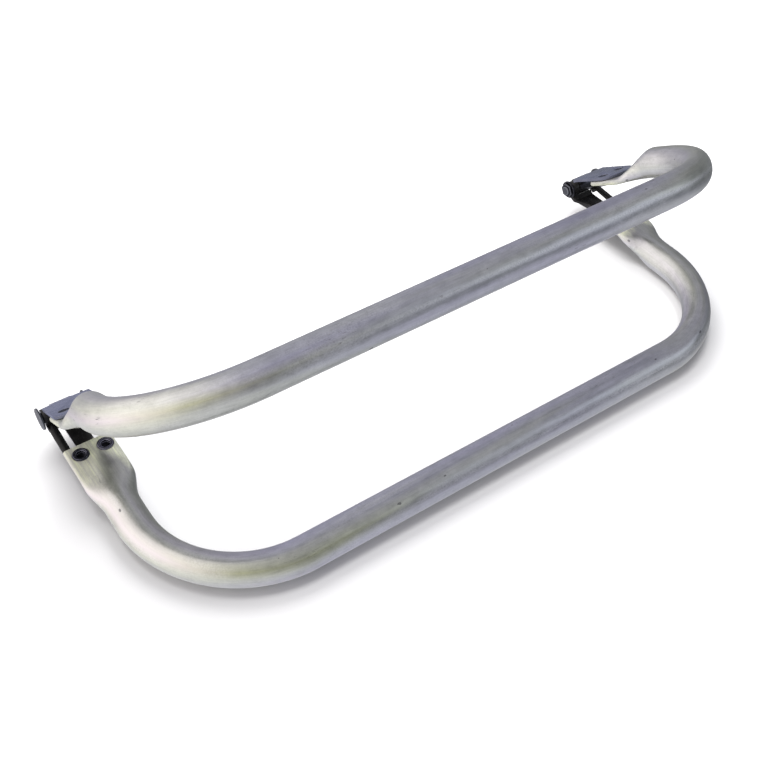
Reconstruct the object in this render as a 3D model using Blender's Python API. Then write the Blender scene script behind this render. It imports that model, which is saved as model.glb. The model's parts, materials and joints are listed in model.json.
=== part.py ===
"""A folding frame of two U-shaped steel bars, hinged together at both ends.

The lower bar lies flat. The upper bar is the same bend, and opens about a pin at each end.
Each bar's ends are pressed flat and bolted to a steel hinge leaf.

Lengths are in metres, +Z is up, and the hinge axis runs along X.
In a half of the frame, reach is the distance from the hinge axis towards the long tube, and
rise is the distance away from the other half, square to the bar's own plane.
"""

import math

import bmesh
import bpy
from mathutils import Vector

# Fits
GAP = 0.0003
FLAT_GAP = 0.0004
CUTTER_MARGIN = 0.012

# Bars
TUBE_DIAMETER = 0.0254
ARM_SPACING = 0.500
BAR_REACH = 0.197
BEND_RADIUS = 0.083
BAR_RISE = 0.0152
BEND_FLATTENING = 0.0029
OPENING_ANGLE = math.radians(32.3)

# Flattened ends, which sit a little inboard of the arm's centreline
END_WIDTH = 0.0362
END_OFFSET = 0.0006
END_THICKNESS = 0.0046
END_CUT_REACH = 0.036
END_FLAT_REACH = 0.063
END_ROUND_REACH = 0.102
SHOULDER_START_REACH = 0.073
SHOULDER_END_REACH = 0.094

# Screws
SCREW_SPACING = 0.0186
SCREW_OFFSET = 0.0016
SCREW_REACH = 0.0452
SCREW_HEAD_DIAMETER = 0.012
SCREW_HEAD_PROUD = 0.001
SCREW_HEAD_HEIGHT = 0.0039
SCREW_SHANK_DIAMETER = 0.0076
SCREW_RECESS = 0.0008
SCREW_CHAMFER = 0.0006
SOCKET_ACROSS_CORNERS = 0.0074
SOCKET_MOUTH_DIAMETER = 0.0086
SOCKET_MOUTH_DEPTH = 0.0008
SOCKET_DEPTH = 0.0026
SCREW_HOLE_DIAMETER = 0.0082

# Hinges, whose insets count inward along X from the outboard edge of the flattened ends
LEAF = (0.0008, 0.0362)
LEAF_THICKNESS = 0.0022
LEAF_END_REACH = 0.060
LEAF_CORNER_RADIUS = 0.012
UPPER_LEAF_CORNER_REACH = 0.0134
LOWER_LEAF_CLEAR_REACH = 0.003
RAMP_REACH = {"upper": 0.014, "lower": 0.008}
KNUCKLE_RADIUS = {"upper": 0.0072, "lower": 0.0064}
KNUCKLE_BLEND_ANGLE = 40
KNUCKLE_SWEEP_RADIUS = 0.0076
OUTER_KNUCKLE_END = 0.0084
MIDDLE_KNUCKLE = (0.0088, 0.0248)
INNER_KNUCKLE = (0.0252, 0.0322)
MIDDLE_ROOT_REACH = 0.0075
FORK_REACH = (0.0068, 0.034)
INNER_ARM = (0.0112, 0.0250)
HEEL_REACH = (0.007, 0.020)
# Each station of the outer arm is (reach, top rise, bottom rise).
OUTER_ARM = (0.0008, 0.0069)
OUTER_ARM_STATIONS = ((0.003, 0.0032, 0.0056), (END_CUT_REACH - FLAT_GAP, 0.0053, 0.0092))
OUTER_ARM_CROWN = 0.6
# Each station of the lip is (inset of its free edge, reach, root rise, edge rise).
LIP_WIDTH = 0.0022
LIP_STATIONS = (
    (0.0319, 0.004, 0.0070, 0.0089),
    (0.0247, 0.020, 0.0086, 0.0130),
    (0.0247, 0.036, 0.0086, 0.0142),
    (0.0247, 0.040, 0.0086, 0.0112),
)

# Pins
PIN_DIAMETER = 0.008
PIN_HEAD_DIAMETER = 0.017
PIN_HEAD = (-0.0023, -0.0005)
PIN_END = 0.0376
WASHER_DIAMETER = 0.0156
WASHER = (0.0326, 0.0342)
NUT = (0.0345, 0.0364)
NUT_ACROSS_CORNERS = 0.0134
PIN_CHAMFER = 0.0005

# How finely the round shapes are faceted
TUBE_SIDES = 32
CAP_SIDES = 3
BEND_STEPS = 16
SHOULDER_STEPS = 9
ROUND_SIDES = 28
HOLE_SIDES = 24
HEX_SIDES = 6
CORNER_STEPS = 6
ARM_STEPS = 10
SHARP_EDGE_ANGLE = math.radians(35)

TUBE_RADIUS = TUBE_DIAMETER / 2
END_INNER_RISE = BAR_RISE - TUBE_RADIUS
END_OUTER_RISE = END_INNER_RISE + END_THICKNESS
LEAF_INNER_RISE = END_OUTER_RISE + FLAT_GAP
LEAF_OUTER_RISE = LEAF_INNER_RISE + LEAF_THICKNESS
OUTBOARD_X = ARM_SPACING / 2 - END_OFFSET + END_WIDTH / 2
BORE_DIAMETER = PIN_DIAMETER + 2 * GAP

# The hinge axis stands so that the object's box rests on the origin and is centred over it.
HINGE_Y = (BAR_REACH + TUBE_RADIUS - PIN_HEAD_DIAMETER / 2) / 2
HINGE_Z = BAR_RISE + TUBE_RADIUS

HALVES = {"upper": 1, "lower": -1}
SIDES = {"left": -1, "right": 1}


def clear_scene():
    for item in list(bpy.data.objects):
        bpy.data.objects.remove(item, do_unlink=True)


def make_material(name, colour, metallic, roughness):
    material = bpy.data.materials.new(name)
    material.use_nodes = True
    shader = material.node_tree.nodes["Principled BSDF"]
    shader.inputs["Base Color"].default_value = (*colour, 1)
    shader.inputs["Metallic"].default_value = metallic
    shader.inputs["Roughness"].default_value = roughness
    return material


def make_frame(name, angle):
    """An empty on the hinge axis, turned about it. The pieces of one half of the frame hang from it."""
    frame = bpy.data.objects.new(name, None)
    frame.location = (0, HINGE_Y, HINGE_Z)
    frame.rotation_euler = (angle, 0, 0)
    bpy.context.scene.collection.objects.link(frame)
    return frame


def make_object(name, shape, material, parent):
    """Turns a closed bmesh into an object under parent."""
    bmesh.ops.recalc_face_normals(shape, faces=shape.faces)
    mesh = bpy.data.meshes.new(name)
    shape.to_mesh(mesh)
    shape.free()
    mesh.materials.append(material)
    mesh.shade_smooth()
    mesh.set_sharp_from_angle(angle=SHARP_EDGE_ANGLE)
    item = bpy.data.objects.new(name, mesh)
    item.parent = parent
    bpy.context.scene.collection.objects.link(item)
    return item


def apply_boolean(item, operation, shape):
    """Joins a closed bmesh to an object, or cuts it away, through a hidden helper."""
    helper_name = f"{item.name}_{operation.lower()}_{len(item.modifiers)}"
    helper = make_object(helper_name, shape, item.data.materials[0], item.parent)
    helper.hide_render = True
    helper.display_type = "WIRE"
    modifier = item.modifiers.new(operation.title(), "BOOLEAN")
    modifier.operation = operation
    modifier.solver = "EXACT"
    modifier.object = helper


def loft(rings):
    """A closed bmesh through rings of points, each with the same number of points."""
    shape = bmesh.new()
    loops = [[shape.verts.new(point) for point in ring] for ring in rings]
    for first, second in zip(loops, loops[1:]):
        for i, corner in enumerate(first):
            after = (i + 1) % len(first)
            shape.faces.new((corner, first[after], second[after], second[i]))
    shape.faces.new(loops[0])
    shape.faces.new(loops[-1])
    return shape


def inboard_x(side, inset):
    """X at a distance inward from the outboard edge of a flattened end."""
    return SIDES[side] * (OUTBOARD_X - inset)


def place(x, reach, rise, half):
    return Vector((x, -reach, HALVES[half] * rise))


def sheet(side, half, outline, rise_low, rise_high):
    """A flat plate parallel to the bar's plane. The outline holds (inset, reach) corners."""
    rings = []
    for rise in (rise_low, rise_high):
        rings.append([place(inboard_x(side, inset), reach, rise, half) for inset, reach in outline])
    return loft(rings)


def arc(centre, radius, start, end, steps):
    """Points on an arc about a (first, second) centre. Angles are in degrees."""
    points = []
    for i in range(steps + 1):
        angle = math.radians(start + (end - start) * i / steps)
        points.append((centre[0] + radius * math.cos(angle), centre[1] + radius * math.sin(angle)))
    return points


def turned(side, half, profile, sides=ROUND_SIDES):
    """A round piece about the hinge axis. The profile holds (inset, radius) steps."""
    rings = []
    for inset, radius in profile:
        circle = arc((0, 0), radius, 0, 360, sides)[:-1]
        rings.append([place(inboard_x(side, inset), reach, rise, half) for reach, rise in circle])
    return loft(rings)


def upright(x, reach, half, profile, sides):
    """A round piece square to the bar's plane. The profile holds (rise, radius) steps."""
    rings = []
    for rise, radius in profile:
        circle = arc((x, reach), radius, 0, 360, sides)[:-1]
        rings.append([place(across, along, rise, half) for across, along in circle])
    return loft(rings)


def ease(value, low, high):
    """A smooth step from 0 at low to 1 at high."""
    t = min(1, max(0, (value - low) / (high - low)))
    return t * t * (3 - 2 * t)


def round_section(flattening):
    """(outward, rise) points of the tube, whose outer side is drawn in where the tube is bent."""
    points = []
    for across, rise in arc((0, 0), TUBE_RADIUS, 0, 360, TUBE_SIDES)[:-1]:
        squeeze = 1 - flattening / TUBE_RADIUS if across > 0 else 1
        points.append((across * squeeze, rise))
    return points


def flat_section():
    """(outward, rise) points of the pressed end, which lies flush with the tube's inner side."""
    cap_radius = END_THICKNESS / 2
    centre = END_WIDTH / 2 - cap_radius
    cap_half_angle = 360 * CAP_SIDES / TUBE_SIDES
    middle_rise = cap_radius - TUBE_RADIUS
    points = []
    for i in range(TUBE_SIDES):
        angle = 360 * i / TUBE_SIDES
        nearest = 0 if math.cos(math.radians(angle)) >= 0 else 180
        off = (angle - nearest + 180) % 360 - 180
        direction = 1 if nearest == 0 else -1
        if abs(off) <= cap_half_angle:
            cap = math.radians(off * 90 / cap_half_angle)
            across = direction * (centre + cap_radius * math.cos(cap))
            rise = direction * cap_radius * math.sin(cap)
        else:
            share = math.cos(math.radians(angle)) / math.cos(math.radians(cap_half_angle))
            across = centre * share
            rise = math.copysign(cap_radius, math.sin(math.radians(angle)))
        points.append((across - END_OFFSET, middle_rise + rise))
    return points


def end_section(reach):
    """The section of an arm at a reach, from pressed flat at its end to round at its shoulder."""
    width_share = 1 - ease(reach, SHOULDER_START_REACH, SHOULDER_END_REACH)
    depth_share = 1 - ease(reach, END_FLAT_REACH, END_ROUND_REACH)
    points = []
    for (round_across, round_rise), (flat_across, flat_rise) in zip(round_section(0), flat_section()):
        across = round_across + width_share * (flat_across - round_across)
        rise = round_rise + depth_share * (flat_rise - round_rise)
        points.append((across, rise))
    return points


def half_bar_stations():
    """(x, reach, heading, section) from a bar's right end to the middle of its long tube.

    The heading is the angle, in radians, that the outward side of the tube points away from +X.
    """
    arm_x = ARM_SPACING / 2
    stations = [(arm_x, END_CUT_REACH, 0, end_section(END_CUT_REACH))]
    for i in range(SHOULDER_STEPS + 1):
        reach = END_FLAT_REACH + (END_ROUND_REACH - END_FLAT_REACH) * i / SHOULDER_STEPS
        stations.append((arm_x, reach, 0, end_section(reach)))
    centre = (arm_x - BEND_RADIUS, BAR_REACH - BEND_RADIUS)
    for i in range(BEND_STEPS + 1):
        share = i / BEND_STEPS
        heading = share * math.pi / 2
        flattening = BEND_FLATTENING * math.sin(math.pi * share)
        x = centre[0] + BEND_RADIUS * math.cos(heading)
        reach = centre[1] + BEND_RADIUS * math.sin(heading)
        stations.append((x, reach, heading, round_section(flattening)))
    return stations


def bar_shape(half):
    right = half_bar_stations()
    rings = []
    for x, reach, heading, section in right:
        ring = []
        for outward, rise in section:
            ring.append(
                place(
                    x + outward * math.cos(heading),
                    reach + outward * math.sin(heading),
                    BAR_RISE + rise,
                    half,
                )
            )
        rings.append(ring)
    mirrored = [[Vector((-point.x, point.y, point.z)) for point in ring] for ring in reversed(rings)]
    return loft(rings + mirrored)


def screw_positions(side):
    """X of the two screws in one flattened end, outboard first."""
    middle = SIDES[side] * (ARM_SPACING / 2 - SCREW_OFFSET)
    outward = SIDES[side] * SCREW_SPACING / 2
    return {"outer": middle + outward, "inner": middle - outward}


def make_bar(half, parent, material):
    bar = make_object(f"{half}_bar", bar_shape(half), material, parent)
    head_seat = END_INNER_RISE - SCREW_HEAD_PROUD + SCREW_HEAD_HEIGHT + GAP
    below = END_INNER_RISE - END_THICKNESS
    above = END_OUTER_RISE + END_THICKNESS
    counterbore_radius = SCREW_HEAD_DIAMETER / 2 + GAP
    hole_radius = SCREW_HOLE_DIAMETER / 2
    profile = [
        (below, counterbore_radius),
        (head_seat, counterbore_radius),
        (head_seat, hole_radius),
        (above, hole_radius),
    ]
    for side in SIDES:
        for x in screw_positions(side).values():
            cutter = upright(x, SCREW_REACH, half, profile, HOLE_SIDES)
            apply_boolean(bar, "DIFFERENCE", cutter)
    return bar


def leaf_profile(half, end_reach):
    """(reach, rise) corners of a leaf cut along its arm: a knuckle, a ramp, and a flat plate."""
    blend = KNUCKLE_BLEND_ANGLE
    ramp = RAMP_REACH[half]
    corners = [
        (ramp, LEAF_OUTER_RISE),
        (end_reach, LEAF_OUTER_RISE),
        (end_reach, LEAF_INNER_RISE),
        (ramp + LEAF_THICKNESS / 2, LEAF_INNER_RISE),
    ]
    return corners + arc((0, 0), KNUCKLE_RADIUS[half], blend, -270, ROUND_SIDES)


def leaf_blank(side, half):
    """A leaf before its cuts, whose knuckle is as long as the leaf is wide."""
    radius = LEAF_CORNER_RADIUS
    corner = arc((LEAF[0] + radius, LEAF_END_REACH - radius), radius, 180, 90, CORNER_STEPS)
    stations = corner + [(LEAF[0] + LEAF[1] - inset, reach) for inset, reach in reversed(corner)]
    rings = []
    for inset, end_reach in stations:
        x = inboard_x(side, inset)
        rings.append([place(x, reach, rise, half) for reach, rise in leaf_profile(half, end_reach)])
    return loft(rings)


def cut_outline(leaf, side, half, outline):
    """Cuts an (inset, reach) outline right through a leaf."""
    cutter = sheet(side, half, outline, -CUTTER_MARGIN, LEAF_OUTER_RISE + CUTTER_MARGIN)
    apply_boolean(leaf, "DIFFERENCE", cutter)


def cut_leaf_holes(leaf, side, half):
    radius = BORE_DIAMETER / 2
    bore = [(LEAF[0] - CUTTER_MARGIN, radius), (LEAF[1] + CUTTER_MARGIN, radius)]
    apply_boolean(leaf, "DIFFERENCE", turned(side, half, bore, HOLE_SIDES))
    hole = [
        (LEAF_INNER_RISE - LEAF_THICKNESS, SCREW_HOLE_DIAMETER / 2),
        (LEAF_OUTER_RISE + LEAF_THICKNESS, SCREW_HOLE_DIAMETER / 2),
    ]
    for x in screw_positions(side).values():
        apply_boolean(leaf, "DIFFERENCE", upright(x, SCREW_REACH, half, hole, HOLE_SIDES))


def make_upper_leaf(side, parent, material):
    """A plate that narrows to one wide knuckle, between the lower leaf's two."""
    half = "upper"
    leaf = make_object(f"{side}_upper_leaf", leaf_blank(side, half), material, parent)
    outward = (-CUTTER_MARGIN, CUTTER_MARGIN)
    for edge, margin, root in zip(LEAF, outward, MIDDLE_KNUCKLE):
        beyond = edge + margin
        outline = [
            (root, -CUTTER_MARGIN),
            (beyond, -CUTTER_MARGIN),
            (beyond, UPPER_LEAF_CORNER_REACH),
            (edge, UPPER_LEAF_CORNER_REACH),
            (root, MIDDLE_ROOT_REACH),
        ]
        cut_outline(leaf, side, half, outline)
    cut_leaf_holes(leaf, side, half)
    return leaf


def outer_arm_shape(side, half):
    """The narrow arm, round on the side that faces the bars, which slopes from knuckle to plate."""
    radius = (OUTER_ARM[1] - OUTER_ARM[0]) / 2
    middle = OUTER_ARM[0] + radius
    rings = []
    for reach, top, bottom in OUTER_ARM_STATIONS:
        ring = [(OUTER_ARM[1], bottom), (OUTER_ARM[0], bottom)]
        crown = OUTER_ARM_CROWN * (bottom - top)
        for inset, bulge in arc((middle, 0), radius, 180, 0, ARM_STEPS):
            ring.append((inset, top + crown * (1 - bulge / radius)))
        rings.append([place(inboard_x(side, inset), reach, rise, half) for inset, rise in ring])
    return loft(rings)


def lip_shape(side, half):
    """A stiffening lip along the inner arm's free edge, turned away from the bar."""
    rings = []
    for edge, reach, root, depth in LIP_STATIONS:
        inner = edge - LIP_WIDTH
        ring = [(edge, root), (inner, root), (inner, depth), (edge, depth)]
        rings.append([place(inboard_x(side, inset), reach, rise, half) for inset, rise in ring])
    return loft(rings)


def make_lower_leaf(side, parent, material):
    """A forked plate with a knuckle at each end of the pin, and open beside its inner arm."""
    half = "lower"
    leaf = make_object(f"{side}_lower_leaf", leaf_blank(side, half), material, parent)
    start, end = OUTER_KNUCKLE_END, INNER_KNUCKLE[0]
    gap = [
        (start, -CUTTER_MARGIN),
        (end, -CUTTER_MARGIN),
        (end, LOWER_LEAF_CLEAR_REACH),
        (start, LOWER_LEAF_CLEAR_REACH),
    ]
    cut_outline(leaf, side, half, gap)
    sweep = [(start, KNUCKLE_SWEEP_RADIUS), (end, KNUCKLE_SWEEP_RADIUS)]
    apply_boolean(leaf, "DIFFERENCE", turned(side, half, sweep))
    outboard = LEAF[0] - CUTTER_MARGIN
    slot = [
        (outboard, FORK_REACH[0]),
        (OUTER_KNUCKLE_END, FORK_REACH[0]),
        (OUTER_KNUCKLE_END, -CUTTER_MARGIN),
        (INNER_ARM[0], -CUTTER_MARGIN),
        (INNER_ARM[0], FORK_REACH[1]),
        (outboard, FORK_REACH[1]),
    ]
    cut_outline(leaf, side, half, slot)
    beyond = LEAF[1] + CUTTER_MARGIN
    notch = [
        (INNER_KNUCKLE[1], -CUTTER_MARGIN),
        (beyond, -CUTTER_MARGIN),
        (beyond, FORK_REACH[1]),
        (INNER_ARM[1], FORK_REACH[1]),
        (INNER_ARM[1], HEEL_REACH[1]),
        (INNER_KNUCKLE[1], HEEL_REACH[0]),
    ]
    cut_outline(leaf, side, half, notch)
    apply_boolean(leaf, "UNION", outer_arm_shape(side, half))
    apply_boolean(leaf, "UNION", lip_shape(side, half))
    cut_leaf_holes(leaf, side, half)
    return leaf


def make_pin(side, parent, material):
    shank = PIN_DIAMETER / 2
    head = PIN_HEAD_DIAMETER / 2
    profile = [
        (PIN_HEAD[0], head - PIN_CHAMFER),
        (PIN_HEAD[0] + PIN_CHAMFER, head),
        (PIN_HEAD[1], head),
        (PIN_HEAD[1], shank),
        (PIN_END - PIN_CHAMFER, shank),
        (PIN_END, shank - PIN_CHAMFER),
    ]
    return make_object(f"{side}_hinge_pin", turned(side, "lower", profile), material, parent)


def make_pin_ring(name, side, parent, material, span, diameter, sides):
    """A washer or a nut on the pin's inner end."""
    radius = diameter / 2
    profile = [
        (span[0], radius),
        (span[1] - PIN_CHAMFER, radius),
        (span[1], radius - PIN_CHAMFER),
    ]
    ring = make_object(name, turned(side, "lower", profile, sides), material, parent)
    bore = [(span[0] - GAP, BORE_DIAMETER / 2), (span[1] + GAP, BORE_DIAMETER / 2)]
    apply_boolean(ring, "DIFFERENCE", turned(side, "lower", bore, HOLE_SIDES))
    return ring


def make_screw(name, x, half, parent, material):
    """A low-head socket screw, with its head on the bar's inner face."""
    top = END_INNER_RISE - SCREW_HEAD_PROUD
    seat = top + SCREW_HEAD_HEIGHT
    end = LEAF_OUTER_RISE - SCREW_RECESS
    head = SCREW_HEAD_DIAMETER / 2
    shank = SCREW_SHANK_DIAMETER / 2
    profile = [
        (top, head - SCREW_CHAMFER),
        (top + SCREW_CHAMFER, head),
        (seat, head),
        (seat, shank),
        (end - SCREW_CHAMFER, shank),
        (end, shank - SCREW_CHAMFER),
    ]
    screw = make_object(name, upright(x, SCREW_REACH, half, profile, HOLE_SIDES), material, parent)
    mouth = [
        (top - SOCKET_MOUTH_DEPTH, SOCKET_MOUTH_DIAMETER / 2 + SOCKET_MOUTH_DEPTH),
        (top + SOCKET_MOUTH_DEPTH, SOCKET_ACROSS_CORNERS / 2),
    ]
    apply_boolean(screw, "DIFFERENCE", upright(x, SCREW_REACH, half, mouth, HOLE_SIDES))
    socket_radius = SOCKET_ACROSS_CORNERS / 2
    socket = [(top - SCREW_HEAD_PROUD, socket_radius), (top + SOCKET_DEPTH, socket_radius)]
    apply_boolean(screw, "DIFFERENCE", upright(x, SCREW_REACH, half, socket, HEX_SIDES))
    return screw


def main():
    clear_scene()
    plated = make_material("zinc_plate", (0.52, 0.51, 0.50), 1, 0.38)
    dark = make_material("black_steel", (0.045, 0.045, 0.055), 0.9, 0.42)
    pin_steel = make_material("pin_steel", (0.42, 0.43, 0.45), 1, 0.4)
    screw_steel = make_material("screw_steel", (0.07, 0.075, 0.09), 1, 0.35)
    frames = {
        "upper": make_frame("upper_frame", -OPENING_ANGLE),
        "lower": make_frame("lower_frame", 0),
    }
    for half, frame in frames.items():
        make_bar(half, frame, plated)
    for side in SIDES:
        make_upper_leaf(side, frames["upper"], dark)
        make_lower_leaf(side, frames["lower"], dark)
        make_pin(side, frames["lower"], pin_steel)
        make_pin_ring(
            f"{side}_pin_washer", side, frames["lower"], pin_steel, WASHER, WASHER_DIAMETER, ROUND_SIDES
        )
        make_pin_ring(f"{side}_pin_nut", side, frames["lower"], dark, NUT, NUT_ACROSS_CORNERS, HEX_SIDES)
        for half, frame in frames.items():
            for position, x in screw_positions(side).items():
                make_screw(f"{side}_{half}_{position}_screw", x, half, frame, screw_steel)


main()
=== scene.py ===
"""The looks of the folding two-bar frame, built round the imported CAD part.

Lengths are in metres, in the CAD's own frame. In a half of the frame, reach is the distance
from the hinge axis towards the long tube, and rise is the distance away from the other half.
"""

import json
import math

import bmesh
import bpy
from mathutils import Matrix, Vector


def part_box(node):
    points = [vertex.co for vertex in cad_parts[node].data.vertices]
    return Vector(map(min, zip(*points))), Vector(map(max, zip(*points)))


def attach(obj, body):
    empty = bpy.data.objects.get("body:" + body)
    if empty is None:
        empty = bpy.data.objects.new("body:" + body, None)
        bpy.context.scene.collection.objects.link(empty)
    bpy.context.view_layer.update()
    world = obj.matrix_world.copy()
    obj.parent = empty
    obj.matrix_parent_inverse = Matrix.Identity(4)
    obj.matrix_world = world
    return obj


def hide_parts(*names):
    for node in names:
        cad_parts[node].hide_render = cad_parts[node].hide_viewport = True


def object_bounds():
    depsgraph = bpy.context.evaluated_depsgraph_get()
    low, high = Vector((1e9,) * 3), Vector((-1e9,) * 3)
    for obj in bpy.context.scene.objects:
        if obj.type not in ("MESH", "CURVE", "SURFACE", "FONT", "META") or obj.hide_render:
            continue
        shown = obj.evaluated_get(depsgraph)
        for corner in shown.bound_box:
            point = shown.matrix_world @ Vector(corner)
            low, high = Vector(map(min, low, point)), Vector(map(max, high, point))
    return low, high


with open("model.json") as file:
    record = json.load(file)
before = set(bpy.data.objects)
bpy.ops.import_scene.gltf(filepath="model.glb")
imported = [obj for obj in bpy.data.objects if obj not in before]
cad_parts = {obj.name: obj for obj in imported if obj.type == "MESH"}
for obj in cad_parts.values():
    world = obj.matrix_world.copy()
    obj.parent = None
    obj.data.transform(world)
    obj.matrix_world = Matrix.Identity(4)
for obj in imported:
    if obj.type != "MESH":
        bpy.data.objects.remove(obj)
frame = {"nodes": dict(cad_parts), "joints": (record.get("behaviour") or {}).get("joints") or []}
cad_low, cad_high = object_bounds()

# What the bars are, where the CAD's boxes don't say it
ARM_X = 0.250
BAR_REACH = 0.197
BEND_RADIUS = 0.083
BEND_FLATTENING = 0.0029
OPENING_ANGLE = math.radians(32.3)
END_WIDTH = 0.0362
END_OFFSET = 0.0006
END_THICKNESS = 0.0046
END_FLAT_REACH = 0.063
END_ROUND_REACH = 0.102
SHOULDER_START_REACH = 0.073
SHOULDER_END_REACH = 0.094
SHOULDER_CREASE = 0.45
CREASE_RUN_IN = -0.3
# A bend's flattening grows from the section's middle, and is full at 1 / FLATTENING_SLOPE of the radius
FLATTENING_SLOPE = 3
SCREW_CLEARANCE = 0.0003
SCREW_HOLE_RADIUS = 0.0041
COUNTERBORE_DEPTH = 0.0032

TUBE_SIDES = 64
CAP_SIDES = 6
BEND_STEPS = 26
SHOULDER_STEPS = 26
LONG_STEPS = 24
HOLE_SIDES = 48

# Widths of the rounded edges
BAR_EDGE = 0.00035
LEAF_EDGE = 0.0003
PIN_EDGE = 0.00025
WASHER_EDGE = 0.0002
NUT_EDGE = 0.0003
SCREW_EDGE = 0.0002

# Edges are rounded where the faces meet at more than the first angle, and shade as sharp past the second
BAR_EDGE_ANGLE = math.radians(50)
BAR_SMOOTH_ANGLE = math.radians(40)
PIECE_EDGE_ANGLE = math.radians(28)
PIECE_SMOOTH_ANGLE = math.radians(38)
BAR_EDGE_STEPS = 3
PIECE_EDGE_STEPS = 2
SAME_PLANE_ANGLE = math.radians(1)
WELD_DISTANCE = 1e-6

# Which way rise points in each half
HALVES = {"upper": 1, "lower": -1}
BODIES = {"upper": "upper_half", "lower": "lower_half"}

HINGE = Vector(frame["joints"][0]["pos_m"])
lower_low, lower_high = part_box("lower_bar")
TUBE_RADIUS = (lower_high.z - lower_low.z) / 2
BAR_RISE = HINGE.z - TUBE_RADIUS
END_CUT_REACH = HINGE.y - lower_high.y

# Camera. The turn is about the vector, by its length in radians
CAMERA_PLACE = (-0.36353, -0.46606, 0.59996)
CAMERA_TURN = Vector((2.2836, -0.7051, 0.298))
CAMERA_LENS = 50.18
CAMERA_SENSOR = 36

# Floor and the lamp over it
FLOOR_HALF = 6.0
FLOOR_GAP = 0.0002
FLOOR_GREY = (0.48, 0.48, 0.48, 1)
LAMP_PLACE = Vector((0.15, 0.5, 1.3))
LAMP_SIZE = 1.3
LAMP_POWER = 52.0

# Light. The tent's colours run from its dim side (0) to its bright side (1)
BRIGHT_SIDE = Vector((-0.9, 0.28, 0.34)).normalized()
TENT_STRENGTH = 2.3
TENT = (
    (0.0, (0.115, 0.12, 0.13)),
    (0.14, (0.13, 0.135, 0.145)),
    (0.26, (0.17, 0.173, 0.173)),
    (0.44, (0.25, 0.248, 0.288)),
    (0.66, (0.34, 0.335, 0.365)),
    (0.80, (0.56, 0.54, 0.55)),
    (0.90, (0.80, 0.765, 0.775)),
    (0.98, (0.90, 0.865, 0.86)),
)
DARK = (0.0, 0.0, 0.0)
# Glow from the pale ground, which the floor's own object doesn't show to the metal
GROUND_SIDE = Vector((-0.1, -0.35, -0.93)).normalized()
GROUND_GLOW = ((0.0, DARK), (0.64, DARK), (0.79, (0.25, 0.25, 0.26)))
# A soft patch of light on the right, which gives the tubes' far ends their shine
PATCH_SIDE = Vector((0.68, -0.60, 0.42)).normalized()
PATCH_GLOW = ((0.0, DARK), (0.978, DARK), (0.996, (0.62, 0.66, 0.72)))

# Where, as a share of the tube's radius in rise, each bar's painted reflection stripe and painted glint
# line run
REFLECTION_STRIPE_RISE = {"upper": 0.17, "lower": -0.67}
GLINT_LINE_RISE = {"upper": 0.12, "lower": -0.50}
# Added to a place along the straightened tube, which is 0 in its middle, to count it from the left
LEFT_SHIFT = 0.5

# Colours of the zinc plate: olive and pink painted reflection, dark nicks, paler scuffs and painted glint,
# worn edges
OLIVE_REFLECTION_TINT = (0.84, 0.85, 0.56)
PINK_HIGHLIGHT_TINT = (0.60, 0.54, 0.585)
NICK_COLOUR = (0.10, 0.10, 0.105)
SCUFF_AND_GLINT_COLOUR = (0.80, 0.80, 0.82)
WORN_ZINC = (0.74, 0.74, 0.70)

# Colours of the leaves' coatings: their mottle, the blue leaf's knuckle painted black as shade, scratches,
# chips, and the tint of the blue one's shine
BLACK_STOPS = (
    (0.32, (0.007, 0.0068, 0.0066)),
    (0.60, (0.012, 0.0115, 0.011)),
    (0.78, (0.028, 0.026, 0.026)),
)
BLUE_STOPS = (
    (0.32, (0.088, 0.093, 0.124)),
    (0.60, (0.118, 0.124, 0.158)),
    (0.78, (0.155, 0.160, 0.196)),
)
KNUCKLE_SHADE = (0.010, 0.0095, 0.0095)
SCRATCH_COLOUR = (0.13, 0.13, 0.15)
BLACK_CHIPS = (0.15, 0.155, 0.19)
BLUE_CHIPS = (0.20, 0.205, 0.235)
BLUE_SHINE = (0.58, 0.62, 0.80, 1.0)
CM_PER_M = 100

# A colour Mix node's sockets, whose names are shared with those of its other types
MIX_FIRST = 6
MIX_SECOND = 7
MIX_RESULT = 2


# ---------------------------------------------------------------- shapes


def half_matrix(half):
    """Takes (x, reach, rise) of one half of the frame to the CAD's own frame."""
    turn = Matrix.Rotation(-OPENING_ANGLE if half == "upper" else 0, 4, "X")
    flip = Matrix.Diagonal((1, -1, HALVES[half], 1))
    return Matrix.Translation(HINGE) @ turn @ flip


def circle(radius, sides):
    points = []
    for i in range(sides):
        angle = math.radians(360 * i / sides)
        points.append((radius * math.cos(angle), radius * math.sin(angle)))
    return points


def ease(value, low, high):
    t = min(1, max(0, (value - low) / (high - low)))
    return t * t * (3 - 2 * t)


def creased(value, low, high):
    """Like ease, but it leaves low with a slope, as metal does at the edge of a press tool."""
    t = min(1, max(0, (value - low) / (high - low)))
    eased = ease(value, low, high) * (1 - SHOULDER_CREASE)
    return eased + SHOULDER_CREASE * t * (2 - t) * ease(t, CREASE_RUN_IN, 1)


def round_section(flattening):
    """(across, rise) points of the tube's section, with its outer side pressed in by the flattening."""
    points = []
    for across, rise in circle(TUBE_RADIUS, TUBE_SIDES):
        squeeze = 1
        if across > 0:
            squeeze = 1 - flattening / TUBE_RADIUS * min(1, across / TUBE_RADIUS * FLATTENING_SLOPE)
        points.append((across * squeeze, rise))
    return points


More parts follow.
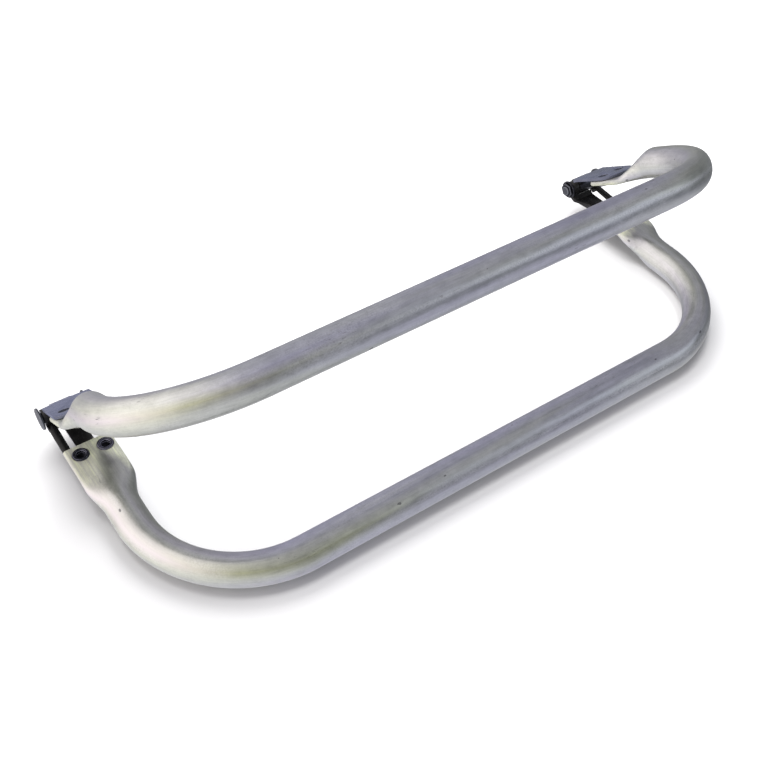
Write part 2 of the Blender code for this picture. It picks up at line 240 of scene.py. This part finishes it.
def flat_section():
    """The pressed end's section, with one point for each of the round section's."""
    cap_radius = END_THICKNESS / 2
    centre = END_WIDTH / 2 - cap_radius
    cap_half_angle = 360 * CAP_SIDES / TUBE_SIDES
    middle_rise = cap_radius - TUBE_RADIUS
    points = []
    for i in range(TUBE_SIDES):
        angle = 360 * i / TUBE_SIDES
        direction = 1 if math.cos(math.radians(angle)) >= 0 else -1
        nearest = 0 if direction == 1 else 180
        off = (angle - nearest + 180) % 360 - 180
        if abs(off) <= cap_half_angle:
            cap = math.radians(off * 90 / cap_half_angle)
            across = direction * (centre + cap_radius * math.cos(cap))
            rise = direction * cap_radius * math.sin(cap)
        else:
            share = math.cos(math.radians(angle)) / math.cos(math.radians(cap_half_angle))
            across = centre * share
            rise = math.copysign(cap_radius, math.sin(math.radians(angle)))
        points.append((across - END_OFFSET, middle_rise + rise))
    return points


def end_section(reach):
    """The section on the way from the pressed end to the round tube."""
    width_share = 1 - ease(reach, SHOULDER_START_REACH, SHOULDER_END_REACH)
    depth_share = 1 - creased(reach, END_FLAT_REACH, END_ROUND_REACH)
    points = []
    for (round_across, round_rise), (flat_across, flat_rise) in zip(round_section(0), flat_section()):
        across = round_across + width_share * (flat_across - round_across)
        rise = round_rise + depth_share * (flat_rise - round_rise)
        points.append((across, rise))
    return points


def bar_stations():
    """(x, reach, heading, section) from a bar's right end to the middle of its long tube."""
    stations = []
    for reach in (END_CUT_REACH, (END_CUT_REACH + END_FLAT_REACH) / 2):
        stations.append((ARM_X, reach, 0, end_section(reach)))
    for i in range(SHOULDER_STEPS + 1):
        reach = END_FLAT_REACH + (END_ROUND_REACH - END_FLAT_REACH) * i / SHOULDER_STEPS
        stations.append((ARM_X, reach, 0, end_section(reach)))
    centre = (ARM_X - BEND_RADIUS, BAR_REACH - BEND_RADIUS)
    for i in range(BEND_STEPS + 1):
        share = i / BEND_STEPS
        heading = share * math.pi / 2
        section = round_section(BEND_FLATTENING * math.sin(math.pi * share))
        x = centre[0] + BEND_RADIUS * math.cos(heading)
        reach = centre[1] + BEND_RADIUS * math.sin(heading)
        stations.append((x, reach, heading, section))
    for i in range(1, LONG_STEPS):
        x = centre[0] * (1 - i / LONG_STEPS)
        stations.append((x, BAR_REACH, math.pi / 2, round_section(0)))
    return stations


def loft(rings):
    """A closed skin over the rings, with a flat face at each end."""
    shape = bmesh.new()
    loops = [[shape.verts.new(point) for point in ring] for ring in rings]
    for first, second in zip(loops, loops[1:]):
        for i, corner in enumerate(first):
            after = (i + 1) % len(first)
            shape.faces.new((corner, first[after], second[after], second[i]))
    shape.faces.new(loops[0])
    shape.faces.new(loops[-1])
    bmesh.ops.recalc_face_normals(shape, faces=shape.faces)
    return shape


def make_mesh_object(name, shape, materials):
    mesh = bpy.data.meshes.new(name)
    shape.to_mesh(mesh)
    shape.free()
    for material in materials:
        mesh.materials.append(material)
    mesh.shade_smooth()
    item = bpy.data.objects.new(name, mesh)
    bpy.context.scene.collection.objects.link(item)
    return item


def straightened(x, reach, rise):
    """Where a point of a bar would be if the tube were straight: (along, outward, rise)."""
    centre_x = ARM_X - BEND_RADIUS
    centre_reach = BAR_REACH - BEND_RADIUS
    side = 1 if x >= 0 else -1
    far = abs(x)
    bend_length = BEND_RADIUS * math.pi / 2
    if far <= centre_x:
        along, outward = far, reach - BAR_REACH
    elif reach <= centre_reach:
        along = centre_x + bend_length + centre_reach - reach
        outward = far - ARM_X
    else:
        angle = math.atan2(far - centre_x, reach - centre_reach)
        along = centre_x + BEND_RADIUS * angle
        outward = math.hypot(far - centre_x, reach - centre_reach) - BEND_RADIUS
    return side * along, outward, rise - BAR_RISE


def counterbore(x, reach, half):
    """The hole that a screw head sits in, as a cutter."""
    head_low, head_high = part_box(f"left_{half}_outer_screw")
    head = (head_high.x - head_low.x) / 2 + SCREW_CLEARANCE
    inner_face = BAR_RISE - TUBE_RADIUS
    rings = []
    for rise, radius in (
        (inner_face - END_THICKNESS, head),
        (inner_face + COUNTERBORE_DEPTH, head),
        (inner_face + COUNTERBORE_DEPTH, SCREW_HOLE_RADIUS),
        (inner_face + 2 * END_THICKNESS, SCREW_HOLE_RADIUS),
    ):
        ring = circle(radius, HOLE_SIDES)
        rings.append([Vector((x + across, reach + along, rise)) for across, along in ring])
    return loft(rings)


def screw_place(node, half):
    """(x, reach) of a screw's axis in its half of the frame."""
    low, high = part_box(node)
    middle = (low + high) / 2
    local = half_matrix(half).inverted() @ middle
    return local.x, local.y


def make_bar(half, materials):
    """A finer bar than the CAD's, with the same outline and the same screw holes."""
    rings = []
    for x, reach, heading, section in bar_stations():
        ring = []
        for outward, rise in section:
            across = x + outward * math.cos(heading)
            along = reach + outward * math.sin(heading)
            ring.append(Vector((across, along, BAR_RISE + rise)))
        rings.append(ring)
    middle = [Vector((0, BAR_REACH + outward, BAR_RISE + rise)) for outward, rise in round_section(0)]
    mirrored = [[Vector((-p.x, p.y, p.z)) for p in ring] for ring in reversed(rings)]
    bar = make_mesh_object(f"{half}_tube", loft(rings + [middle] + mirrored), materials)
    for side in ("left", "right"):
        for position in ("outer", "inner"):
            x, reach = screw_place(f"{side}_{half}_{position}_screw", half)
            cutter = make_mesh_object("cutter", counterbore(x, reach, half), materials)
            cut = bar.modifiers.new("Cut", "BOOLEAN")
            cut.operation = "DIFFERENCE"
            cut.solver = "EXACT"
            cut.object = cutter
            apply_modifiers(bar)
            bpy.data.objects.remove(cutter, do_unlink=True)
    soften(bar, BAR_EDGE, BAR_EDGE_ANGLE, BAR_EDGE_STEPS)
    apply_modifiers(bar)
    name_straightened(bar)
    bar.data.transform(half_matrix(half))
    if half_matrix(half).determinant() < 0:
        bar.data.flip_normals()
    bar.data.shade_smooth()
    bar.data.set_sharp_from_angle(angle=BAR_SMOOTH_ANGLE)
    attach(bar, BODIES[half])
    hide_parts(f"{half}_bar")


def apply_modifiers(item):
    """Replaces the item's mesh with what its modifiers make of it."""
    graph = bpy.context.evaluated_depsgraph_get()
    mesh = bpy.data.meshes.new_from_object(item.evaluated_get(graph))
    item.modifiers.clear()
    item.data = mesh


def soften(item, width, angle, steps):
    """Rounds the sharp edges, as deburring does, and gives the rounded faces the item's second material."""
    bevel = item.modifiers.new("Soften", "BEVEL")
    bevel.width = width
    bevel.segments = steps
    bevel.limit_method = "ANGLE"
    bevel.angle_limit = angle
    bevel.material = 1


def name_straightened(bar):
    """Stores each point's place along the straightened tube, which the plating's streaks follow."""
    places = bar.data.attributes.new("straight", "FLOAT_VECTOR", "POINT")
    for vertex, place in zip(bar.data.vertices, places.data):
        place.vector = straightened(*vertex.co)


def refine(node, body, width, materials):
    """A copy of a CAD piece with its edges softened, which stands for it."""
    shape = bmesh.new()
    shape.from_mesh(frame["nodes"][node].data)
    bmesh.ops.remove_doubles(shape, verts=shape.verts, dist=WELD_DISTANCE)
    bmesh.ops.dissolve_limit(
        shape, angle_limit=SAME_PLANE_ANGLE, verts=shape.verts, edges=shape.edges
    )
    bmesh.ops.recalc_face_normals(shape, faces=shape.faces)
    for face in shape.faces:
        face.material_index = 0
    piece = make_mesh_object(f"{node}_fine", shape, materials)
    soften(piece, width, PIECE_EDGE_ANGLE, PIECE_EDGE_STEPS)
    apply_modifiers(piece)
    piece.data.shade_smooth()
    piece.data.set_sharp_from_angle(angle=PIECE_SMOOTH_ANGLE)
    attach(piece, body)
    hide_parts(node)


# ---------------------------------------------------------------- materials


class Nodes:
    """Short names for building one material's node tree."""

    def __init__(self, name):
        self.material = bpy.data.materials.new(name)
        self.material.use_nodes = True
        self.tree = self.material.node_tree
        self.shader = self.tree.nodes["Principled BSDF"]

    def add(self, kind, settings=None, **inputs):
        node = self.tree.nodes.new(kind)
        for key, value in (settings or {}).items():
            setattr(node, key, value)
        for key, value in inputs.items():
            self.feed(node.inputs[key.replace("_", " ")], value)
        return node

    def feed(self, socket, value):
        if isinstance(value, bpy.types.NodeSocket):
            self.tree.links.new(value, socket)
        elif isinstance(value, bpy.types.Node):
            self.tree.links.new(value.outputs[0], socket)
        else:
            socket.default_value = value

    def set(self, **inputs):
        for key, value in inputs.items():
            self.feed(self.shader.inputs[key.replace("_", " ")], value)

    def coordinates(self):
        return self.add("ShaderNodeTexCoord").outputs["Object"]

    def straight(self):
        return self.add("ShaderNodeAttribute", {"attribute_name": "straight"}).outputs["Vector"]

    def stretched(self, vector, scale, offset=(0, 0, 0)):
        mapping = self.add("ShaderNodeMapping", Vector=vector)
        mapping.inputs["Scale"].default_value = scale
        mapping.inputs["Location"].default_value = offset
        return mapping.outputs["Vector"]

    def noise(self, vector, scale, detail=3, roughness=0.55):
        node = self.add(
            "ShaderNodeTexNoise", Vector=vector, Scale=scale, Detail=detail, Roughness=roughness
        )
        return node.outputs["Fac"]

    def ramp(self, value, *stops):
        """A smooth step or a colour ramp. Each stop is (position, number or colour)."""
        node = self.add("ShaderNodeValToRGB", Fac=value)
        elements = node.color_ramp.elements
        while len(elements) < len(stops):
            elements.new(0.5)
        for element, (position, colour) in zip(elements, stops):
            element.position = position
            if isinstance(colour, (int, float)):
                colour = (colour,) * 3
            element.color = (*colour, 1)
        return node.outputs["Color"]

    def maths(self, operation, first, second=0.0):
        node = self.add("ShaderNodeMath", {"operation": operation})
        self.feed(node.inputs[0], first)
        self.feed(node.inputs[1], second)
        return node.outputs[0]

    def mix(self, share, first, second, blend="MIX"):
        node = self.add("ShaderNodeMix", {"data_type": "RGBA", "blend_type": blend})
        self.feed(node.inputs["Factor"], share)
        self.feed(node.inputs[MIX_FIRST], (*first, 1) if isinstance(first, tuple) else first)
        self.feed(node.inputs[MIX_SECOND], (*second, 1) if isinstance(second, tuple) else second)
        return node.outputs[MIX_RESULT]

    def bump(self, height, distance, strength=1.0, before=None):
        node = self.add("ShaderNodeBump", Height=height, Distance=distance, Strength=strength)
        if before is not None:
            self.feed(node.inputs["Normal"], before)
        return node.outputs["Normal"]

    def bell(self, value, centre, width):
        """1 where value is at centre, falling smoothly to 0 a width away on either side."""
        off = self.maths("ABSOLUTE", self.maths("SUBTRACT", value, centre))
        return self.ramp(self.maths("DIVIDE", off, width), (0.0, 1.0), (1.0, 0.0))

    def sum(self, *terms):
        """Adds (weight, value) terms."""
        total = 0.0
        for weight, value in terms:
            total = self.maths("ADD", total, self.maths("MULTIPLY", value, weight))
        return total


def zinc_plate(half, worn=False):
    """Bright zinc plate over steel tube: satin and streaked along the tube, with a faint coloured film,
    painted reflection tints and a painted glint line.
    """
    m = Nodes(f"{half}_zinc_plate_edge" if worn else f"{half}_zinc_plate")
    along = m.straight()
    parts = m.add("ShaderNodeSeparateXYZ", Vector=along)
    from_middle = m.maths("ABSOLUTE", parts.outputs["X"])
    from_left = m.maths("ADD", parts.outputs["X"], LEFT_SHIFT)
    outward_share = m.maths("DIVIDE", parts.outputs["Y"], TUBE_RADIUS)
    rise_share = m.maths("DIVIDE", parts.outputs["Z"], TUBE_RADIUS)
    outer_side = m.ramp(outward_share, (0.0, 0.0), (0.25, 1.0))
    left_share = m.ramp(from_left, (0.24, 1.0), (0.70, 0.0))
    patches = m.noise(m.stretched(along, (9, 34, 34)), 1, 3, 0.5)
    film = m.noise(m.stretched(along, (5, 75, 75), (3, 1, 7)), 1, 2, 0.45)
    streaks = m.noise(m.stretched(along, (26, 900, 900)), 1, 4, 0.6)
    fine_streaks = m.noise(m.stretched(along, (90, 3200, 3200), (5, 2, 1)), 1, 2, 0.6)
    grain = m.noise(along, 1000, 3, 0.7)
    mottle = m.noise(m.stretched(along, (110, 160, 160)), 1, 4, 0.65)

    # The film is violet along the long tube and olive on the pressed ends; the bends' cream is partly a
    # painted highlight tint, strongest on the left bends, on the tent's bright side
    long_tone = m.ramp(
        film, (0.32, (0.43, 0.425, 0.51)), (0.50, (0.445, 0.45, 0.495)), (0.66, (0.475, 0.485, 0.475))
    )
    bend_tone = m.ramp(
        film, (0.34, (0.50, 0.49, 0.49)), (0.48, (0.49, 0.497, 0.46)), (0.62, (0.475, 0.485, 0.42))
    )
    brushed = m.sum((0.6, streaks), (0.4, fine_streaks))
    end_tone = m.ramp(
        brushed, (0.40, (0.51, 0.515, 0.43)), (0.50, (0.58, 0.595, 0.47)), (0.60, (0.67, 0.695, 0.48))
    )
    wander = m.maths("MULTIPLY", m.maths("SUBTRACT", patches, 0.5), 0.16)
    reach = m.maths("ADD", from_middle, wander)
    cream_highlight = m.ramp(reach, (0.15, 0.0), (0.25, 1.0))
    # Painted highlight: the cream is cut to 0.85 on the right bends, away from the tent's bright side
    cream_highlight = m.maths("MULTIPLY", cream_highlight, m.ramp(left_share, (0.0, 0.85), (1.0, 1.0)))
    colour = m.mix(cream_highlight, long_tone, bend_tone)
    flat_face = m.ramp(m.maths("ADD", rise_share, 1.0), (0.05, 1.0), (0.42, 0.0))
    pressed = m.maths("MULTIPLY", m.ramp(reach, (0.335, 0.0), (0.352, 1.0)), flat_face)
    colour = m.mix(pressed, colour, end_tone)
    value = m.sum((0.24, streaks), (0.14, fine_streaks), (0.18, grain), (0.30, mottle))
    colour = m.mix(1.0, colour, m.ramp(value, (0.28, 0.66), (0.58, 1.16)), "MULTIPLY")

    # Painted reflection: an olive stripe along the tube where its dark reflected band falls, and a pink
    # painted highlight where that stripe takes the left bend
    reflection_stripe = m.maths("MULTIPLY", m.bell(rise_share, REFLECTION_STRIPE_RISE[half], 0.42), outer_side)
    reflection_stripe = m.maths("MULTIPLY", reflection_stripe, left_share)
    pink_highlight = m.maths("MULTIPLY", reflection_stripe, m.ramp(from_left, (0.24, 1.0), (0.29, 0.0)))
    olive_run = m.ramp(from_left, (0.23, 0.0), (0.29, 1.0), (0.36, 1.0), (0.44, 0.5))
    colour = m.mix(m.maths("MULTIPLY", reflection_stripe, olive_run), colour, OLIVE_REFLECTION_TINT, "MULTIPLY")
    colour = m.mix(m.maths("MULTIPLY", pink_highlight, 0.6), colour, PINK_HIGHLIGHT_TINT)

    # Short dark rubs along the tube, then small dark nicks and pits
    rub_places = m.noise(m.stretched(along, (16, 60, 60), (1, 5, 2)), 1, 2)
    dashes = m.noise(m.stretched(along, (150, 1100, 1100), (7, 0, 3)), 1, 3, 0.7)
    rubs = m.maths(
        "MULTIPLY",
        m.ramp(rub_places, (0.56, 0.0), (0.65, 1.0)),
        m.ramp(dashes, (0.60, 0.0), (0.66, 1.0)),
    )
    cells = m.add(
        "ShaderNodeTexVoronoi", Vector=m.stretched(along, (75, 130, 130)), Scale=1.0, Randomness=1.0
    )
    pick = m.add("ShaderNodeSeparateColor", Color=cells.outputs["Color"])
    chosen = m.maths("GREATER_THAN", pick.outputs[0], 0.72)
    size = m.maths("MULTIPLY", pick.outputs[1], 0.15)
    nicks = m.maths("MULTIPLY", m.maths("LESS_THAN", cells.outputs["Distance"], size), chosen)
    marks = m.maths("MAXIMUM", m.maths("MULTIPLY", rubs, 0.75), m.maths("MULTIPLY", nicks, 0.7))
    colour = m.mix(marks, colour, NICK_COLOUR)

    # Bright scuffs, where the film is rubbed back to paler metal, in faint bands; and a painted highlight
    # line, speckled like a scuff, along the tube's right part where a bright reflection runs
    bands = m.noise(m.stretched(along, (12, 90, 90), (8, 8, 4)), 1, 2)
    bands = m.maths("MULTIPLY", m.ramp(bands, (0.52, 0.0), (0.62, 1.0)), 0.28)
    glint_line = m.maths("MULTIPLY", m.bell(rise_share, GLINT_LINE_RISE[half], 0.17), outer_side)
    glint_line = m.maths("MULTIPLY", glint_line, m.ramp(patches, (0.34, 0.35), (0.54, 1.0)))
    glint_line = m.maths("MULTIPLY", glint_line, m.ramp(from_left, (0.34, 0.0), (0.56, 1.0)))
    specks = m.ramp(grain, (0.40, 0.0), (0.55, 1.0))
    scuffs_and_glint = m.maths("MULTIPLY", m.maths("MAXIMUM", bands, glint_line), specks)
    colour = m.mix(m.maths("MULTIPLY", scuffs_and_glint, 0.5), colour, SCUFF_AND_GLINT_COLOUR)
    if worn:
        colour = m.mix(0.55, colour, WORN_ZINC)

    rough = m.sum((0.22, mottle), (0.14, streaks), (0.12, grain), (0.10, patches))
    rough = m.maths("ADD", rough, m.sum((0.18, scuffs_and_glint), (0.2, marks), (0.38, pressed)))
    height = m.sum((0.5, streaks), (0.35, mottle), (0.5, grain), (-1.6, marks))
    waves = m.noise(m.stretched(along, (20, 55, 55), (2, 9, 5)), 1, 1)
    normal = m.bump(waves, 0.0016, 0.6)
    m.set(
        Base_Color=colour,
        Metallic=m.maths("SUBTRACT", 1.0, m.maths("MULTIPLY", pressed, 0.38)),
        Roughness=m.maths("ADD", rough, 0.09),
        Normal=m.bump(height, 0.00014, 0.6, normal),
    )
    return m.material


def from_hinge_axis(m, place):
    """Each point's distance from the hinge's axis, in centimetres."""
    parts = m.add("ShaderNodeSeparateXYZ", Vector=place)
    across = m.maths("SUBTRACT", parts.outputs["Y"], HINGE.y)
    above = m.maths("SUBTRACT", parts.outputs["Z"], HINGE.z)
    squares = m.maths("ADD", m.maths("POWER", across, 2), m.maths("POWER", above, 2))
    return m.maths("MULTIPLY", m.maths("SQRT", squares), CM_PER_M)


def black_coating(name, worn=False, blue=False):
    """A thin semi-gloss coating over pressed steel, dusty in patches and chipped at its edges.

    The blue one is blue-grey on its plate; its knuckle is the same coat, painted black as shade.
    """
    m = Nodes(name)
    place = m.coordinates()
    patches = m.noise(place, 110, 3, 0.5)
    grain = m.noise(place, 2200, 3, 0.6)
    ripple = m.noise(m.stretched(place, (420, 90, 420)), 1, 3, 0.55)
    colour = m.ramp(patches, *(BLUE_STOPS if blue else BLACK_STOPS))
    scratch = m.noise(m.stretched(place, (1900, 160, 1900), (3, 1, 4)), 1, 3, 0.7)
    scratch = m.ramp(scratch, (0.66, 0.0), (0.71, 1.0))
    colour = m.mix(m.maths("MULTIPLY", scratch, 0.5), colour, SCRATCH_COLOUR)
    metallic = 0.0
    if blue:
        # Painted shade: round the hinge's axis the knuckle, the same coat as the plate, is darkened to
        # black
        plate = m.ramp(from_hinge_axis(m, place), (0.74, 0.0), (0.86, 1.0))
        colour = m.mix(plate, KNUCKLE_SHADE, colour)
        metallic = m.maths("MULTIPLY", plate, 0.7)
        m.set(Specular_Tint=BLUE_SHINE)
    if worn:
        chips = m.ramp(m.noise(place, 480, 4, 0.65), (0.44, 0.0), (0.56, 1.0))
        colour = m.mix(chips, colour, BLUE_CHIPS if blue else BLACK_CHIPS)
        metallic = m.maths("MULTIPLY", chips, 0.8)
    rough = m.maths("ADD", m.sum((0.16, patches), (0.10, grain), (0.08, ripple)), 0.10)
    m.set(
        Base_Color=colour,
        Metallic=metallic,
        Roughness=rough,
        IOR=1.48 if blue else 1.26,
        Normal=m.bump(m.sum((1.0, grain), (0.7, ripple), (-0.6, scratch)), 0.00006, 0.6),
    )
    return m.material


def turned_steel(name, dark, light, roughness, worn=False):
    """Plain steel hardware: stained, with fine turning marks and paler edges."""
    m = Nodes(name)
    place = m.coordinates()
    stain = m.noise(place, 260, 4, 0.6)
    grain = m.noise(place, 3000, 2, 0.5)
    turning = m.noise(m.stretched(place, (2600, 240, 240)), 1, 3, 0.6)
    colour = m.mix(m.ramp(stain, (0.36, 0.0), (0.64, 1.0)), dark, light)
    if worn:
        bare = tuple(min(1, channel * 2.4 + 0.03) for channel in light)
        colour = m.mix(0.6, colour, bare)
    rough = m.maths("ADD", m.sum((0.22, stain), (0.12, grain)), roughness)
    m.set(
        Base_Color=colour,
        Metallic=1.0,
        Roughness=rough,
        Normal=m.bump(m.sum((1.0, turning), (0.5, grain)), 0.00004, 0.5),
    )
    return m.material


# ---------------------------------------------------------------- stage


def make_floor():
    """A pale floor that takes the shadows and isn't seen in the metal."""
    shape = bmesh.new()
    bmesh.ops.create_grid(shape, x_segments=1, y_segments=1, size=FLOOR_HALF)
    m = Nodes("pale_floor")
    m.set(Base_Color=FLOOR_GREY, Roughness=0.9, Specular_IOR_Level=0.1)
    floor = make_mesh_object("floor", shape, [m.material])
    floor.location.z = cad_low[2] - FLOOR_GAP
    floor.visible_glossy = False


def glow(tree, place, side, stops):
    """A colour for each direction, by how far it faces the given side: 0 away from it, 1 towards it."""
    facing = tree.nodes.new("ShaderNodeVectorMath")
    facing.operation = "DOT_PRODUCT"
    facing.inputs[1].default_value = side
    share = tree.nodes.new("ShaderNodeMapRange")
    share.inputs["From Min"].default_value = -1
    ramp = tree.nodes.new("ShaderNodeValToRGB")
    elements = ramp.color_ramp.elements
    while len(elements) < len(stops):
        elements.new(0.5)
    for element, (position, colour) in zip(elements, stops):
        element.position = position
        element.color = (*colour, 1)
    tree.links.new(place, facing.inputs[0])
    tree.links.new(facing.outputs["Value"], share.inputs["Value"])
    tree.links.new(share.outputs["Result"], ramp.inputs["Fac"])
    return ramp.outputs["Color"]


def make_world():
    """A soft studio tent, bright on the left and dim on the right, with the ground's glow and the patch."""
    world = bpy.data.worlds.new("studio")
    bpy.context.scene.world = world
    world.use_nodes = True
    tree = world.node_tree
    place = tree.nodes.new("ShaderNodeTexCoord").outputs["Generated"]
    total = glow(tree, place, BRIGHT_SIDE, TENT)
    for side, stops in ((GROUND_SIDE, GROUND_GLOW), (PATCH_SIDE, PATCH_GLOW)):
        both = tree.nodes.new("ShaderNodeMix")
        both.data_type = "RGBA"
        both.blend_type = "ADD"
        both.inputs["Factor"].default_value = 1
        tree.links.new(total, both.inputs[MIX_FIRST])
        tree.links.new(glow(tree, place, side, stops), both.inputs[MIX_SECOND])
        total = both.outputs[MIX_RESULT]
    background = tree.nodes["Background"]
    tree.links.new(total, background.inputs["Color"])
    background.inputs["Strength"].default_value = TENT_STRENGTH


def make_lamp():
    """A wide lamp over the frame, which makes the floor's shadows and isn't seen in the metal."""
    data = bpy.data.lights.new("overhead", "AREA")
    data.shape = "RECTANGLE"
    data.size = data.size_y = LAMP_SIZE
    data.energy = LAMP_POWER
    lamp = bpy.data.objects.new("overhead", data)
    lamp.location = LAMP_PLACE
    lamp.rotation_euler = (-LAMP_PLACE).to_track_quat("-Z", "Y").to_euler()
    lamp.visible_glossy = False
    bpy.context.scene.collection.objects.link(lamp)


def make_camera():
    data = bpy.data.cameras.new("camera")
    data.lens = CAMERA_LENS
    data.sensor_width = CAMERA_SENSOR
    camera = bpy.data.objects.new("camera", data)
    # The turn is for a camera that looks along +Z with +Y down, so its Y and Z are reversed here
    turn = Matrix.Rotation(CAMERA_TURN.length, 3, CAMERA_TURN.normalized())
    axes = Matrix([(turn[0][i], -turn[1][i], -turn[2][i]) for i in range(3)])
    camera.matrix_world = Matrix.Translation(CAMERA_PLACE) @ axes.to_4x4()
    bpy.context.scene.collection.objects.link(camera)
    bpy.context.scene.camera = camera


# ---------------------------------------------------------------- the frame and its stage


bpy.context.scene.view_settings.view_transform = "Standard"
make_camera()
make_floor()
make_world()
make_lamp()

coating = [black_coating("black_coating"), black_coating("black_coating_edge", worn=True)]
blue_coating = [
    black_coating("blue_black_coating", blue=True),
    black_coating("blue_black_coating_edge", worn=True, blue=True),
]
pin_finish = [
    turned_steel("pin_face", (0.045, 0.048, 0.055), (0.08, 0.085, 0.095), 0.30),
    turned_steel("pin_edge", (0.05, 0.054, 0.062), (0.08, 0.085, 0.095), 0.25, worn=True),
]
# The screws' rims are paler than their black faces: partly worn bare steel, partly a painted highlight on
# the rims
screw_finish = [
    turned_steel("screw_face", (0.010, 0.010, 0.012), (0.024, 0.024, 0.030), 0.28),
    turned_steel("screw_edge", (0.10, 0.10, 0.13), (0.15, 0.15, 0.19), 0.2, worn=True),
]
nut_finish = [
    screw_finish[0],
    turned_steel("nut_edge", (0.03, 0.032, 0.036), (0.05, 0.052, 0.06), 0.28, worn=True),
]

for half in HALVES:
    make_bar(half, [zinc_plate(half), zinc_plate(half, worn=True)])
for side in ("left", "right"):
    refine(f"{side}_upper_leaf", "upper_half", LEAF_EDGE, blue_coating)
    refine(f"{side}_lower_leaf", "lower_half", LEAF_EDGE, coating)
    refine(f"{side}_hinge_pin", "lower_half", PIN_EDGE, pin_finish)
    refine(f"{side}_pin_washer", "lower_half", WASHER_EDGE, nut_finish)
    refine(f"{side}_pin_nut", "lower_half", NUT_EDGE, nut_finish)
    for half in HALVES:
        for position in ("outer", "inner"):
            node = f"{side}_{half}_{position}_screw"
            refine(node, BODIES[half], SCREW_EDGE, screw_finish)
